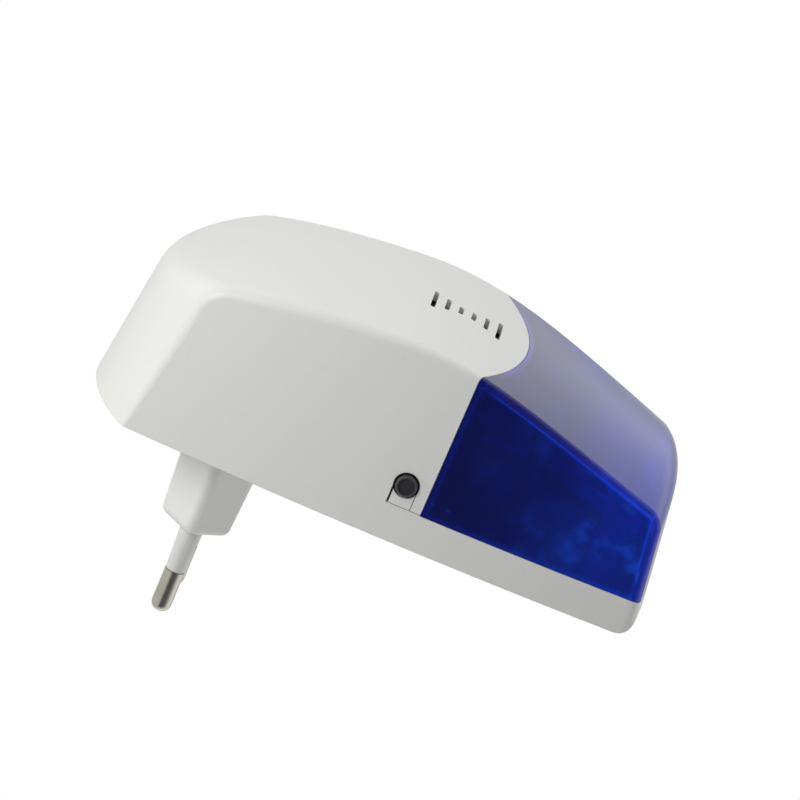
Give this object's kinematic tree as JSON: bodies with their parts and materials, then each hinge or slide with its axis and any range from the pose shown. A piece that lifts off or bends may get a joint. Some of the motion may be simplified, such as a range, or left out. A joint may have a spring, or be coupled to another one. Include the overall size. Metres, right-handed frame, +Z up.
{
  "type": "plug-in alarm siren",
  "caption": "Mains plug-in wireless alarm siren with a curved white housing, sounder slots, a blue strobe lens on top and a small push button in its side.",
  "frame": {"origin": "on the back plane of the housing, midway between the two plug pins", "axes": "+Z up from the plug towards the strobe lens, +Y out of the back along the plug pins, +X towards the side with the push button"},
  "size_m": [0.0695, 0.077, 0.1144],
  "materials": {
    "white_shell": "moulded ABS, fine satin texture",
    "blue_lens": "clear blue tinted polycarbonate, polished",
    "black_button": "satin",
    "grey_plunger": "satin",
    "black_moulding": "matt moulding",
    "sleeve_plastic": "glossy nylon sleeve",
    "nickel_plate": "bright nickel plate",
    "screw_steel": "zinc plated",
    "core_iron": "varnished laminations",
    "winding_copper": "enamelled copper wire",
    "board_laminate": "solder mask",
    "spacer_nylon": "natural nylon",
    "capacitor_sleeve": "shrunk sleeve",
    "film_block": "potted block",
    "fuse_glass": "clear tube",
    "lead_insulation": "PVC",
    "cell_wrap": "shrunk wrap",
    "gasket_foam": "closed cell foam",
    "disc_brass": "rolled",
    "disc_ceramic": "silvered face",
    "reflector_silver": "metallised plastic",
    "lamp_clear": "water clear epoxy",
    "label_paper": "blank rating label"
  },
  "bodies": {
    "housing": {"antenna_wire": "lead_insulation", "back_cover": "white_shell", "battery_cells": "cell_wrap", "battery_contacts": "nickel_plate", "battery_cradle": "black_moulding", "board_posts": "spacer_nylon", "board_screws": "screw_steel", "button_surround": "white_shell", "case_screws": "screw_steel", "control_chip": "black_moulding", "driver_chip": "black_moulding", "film_capacitor": "film_block", "filter_capacitors": "capacitor_sleeve", "front_cover": "white_shell", "fuse_clips": "nickel_plate", "lead_connector": "spacer_nylon", "main_board": "board_laminate", "mains_fuse": "fuse_glass", "mains_tags": "winding_copper", "piezo_ceramic": "disc_ceramic", "piezo_plate": "disc_brass", "pin_sleeve_left": "sleeve_plastic", "pin_sleeve_right": "sleeve_plastic", "plug_body": "white_shell", "plug_pin_left": "nickel_plate", "plug_pin_right": "nickel_plate", "radio_board": "board_laminate", "radio_can": "nickel_plate", "rating_label": "label_paper", "sounder_chamber": "spacer_nylon", "sounder_gasket": "gasket_foam", "strobe_board": "board_laminate", "strobe_lamps": "lamp_clear", "strobe_leads": "lead_insulation", "strobe_lens": "blue_lens", "strobe_posts": "spacer_nylon", "strobe_reflector": "reflector_silver", "switch_legs": "nickel_plate", "tact_switch_body": "black_moulding", "transformer_bobbin": "black_moulding", "transformer_core": "core_iron", "transformer_winding": "winding_copper"},
    "button": {"button_cap": "black_button", "switch_plunger": "grey_plunger"}
  },
  "joints": [
    {"name": "button_press", "type": "slide", "parent": "housing", "child": "button", "axis": [-1, 0, 0], "range_m": [0, 0.0005], "stiffness_N_per_m": 200, "springref_m": -0.0005}
  ]
}
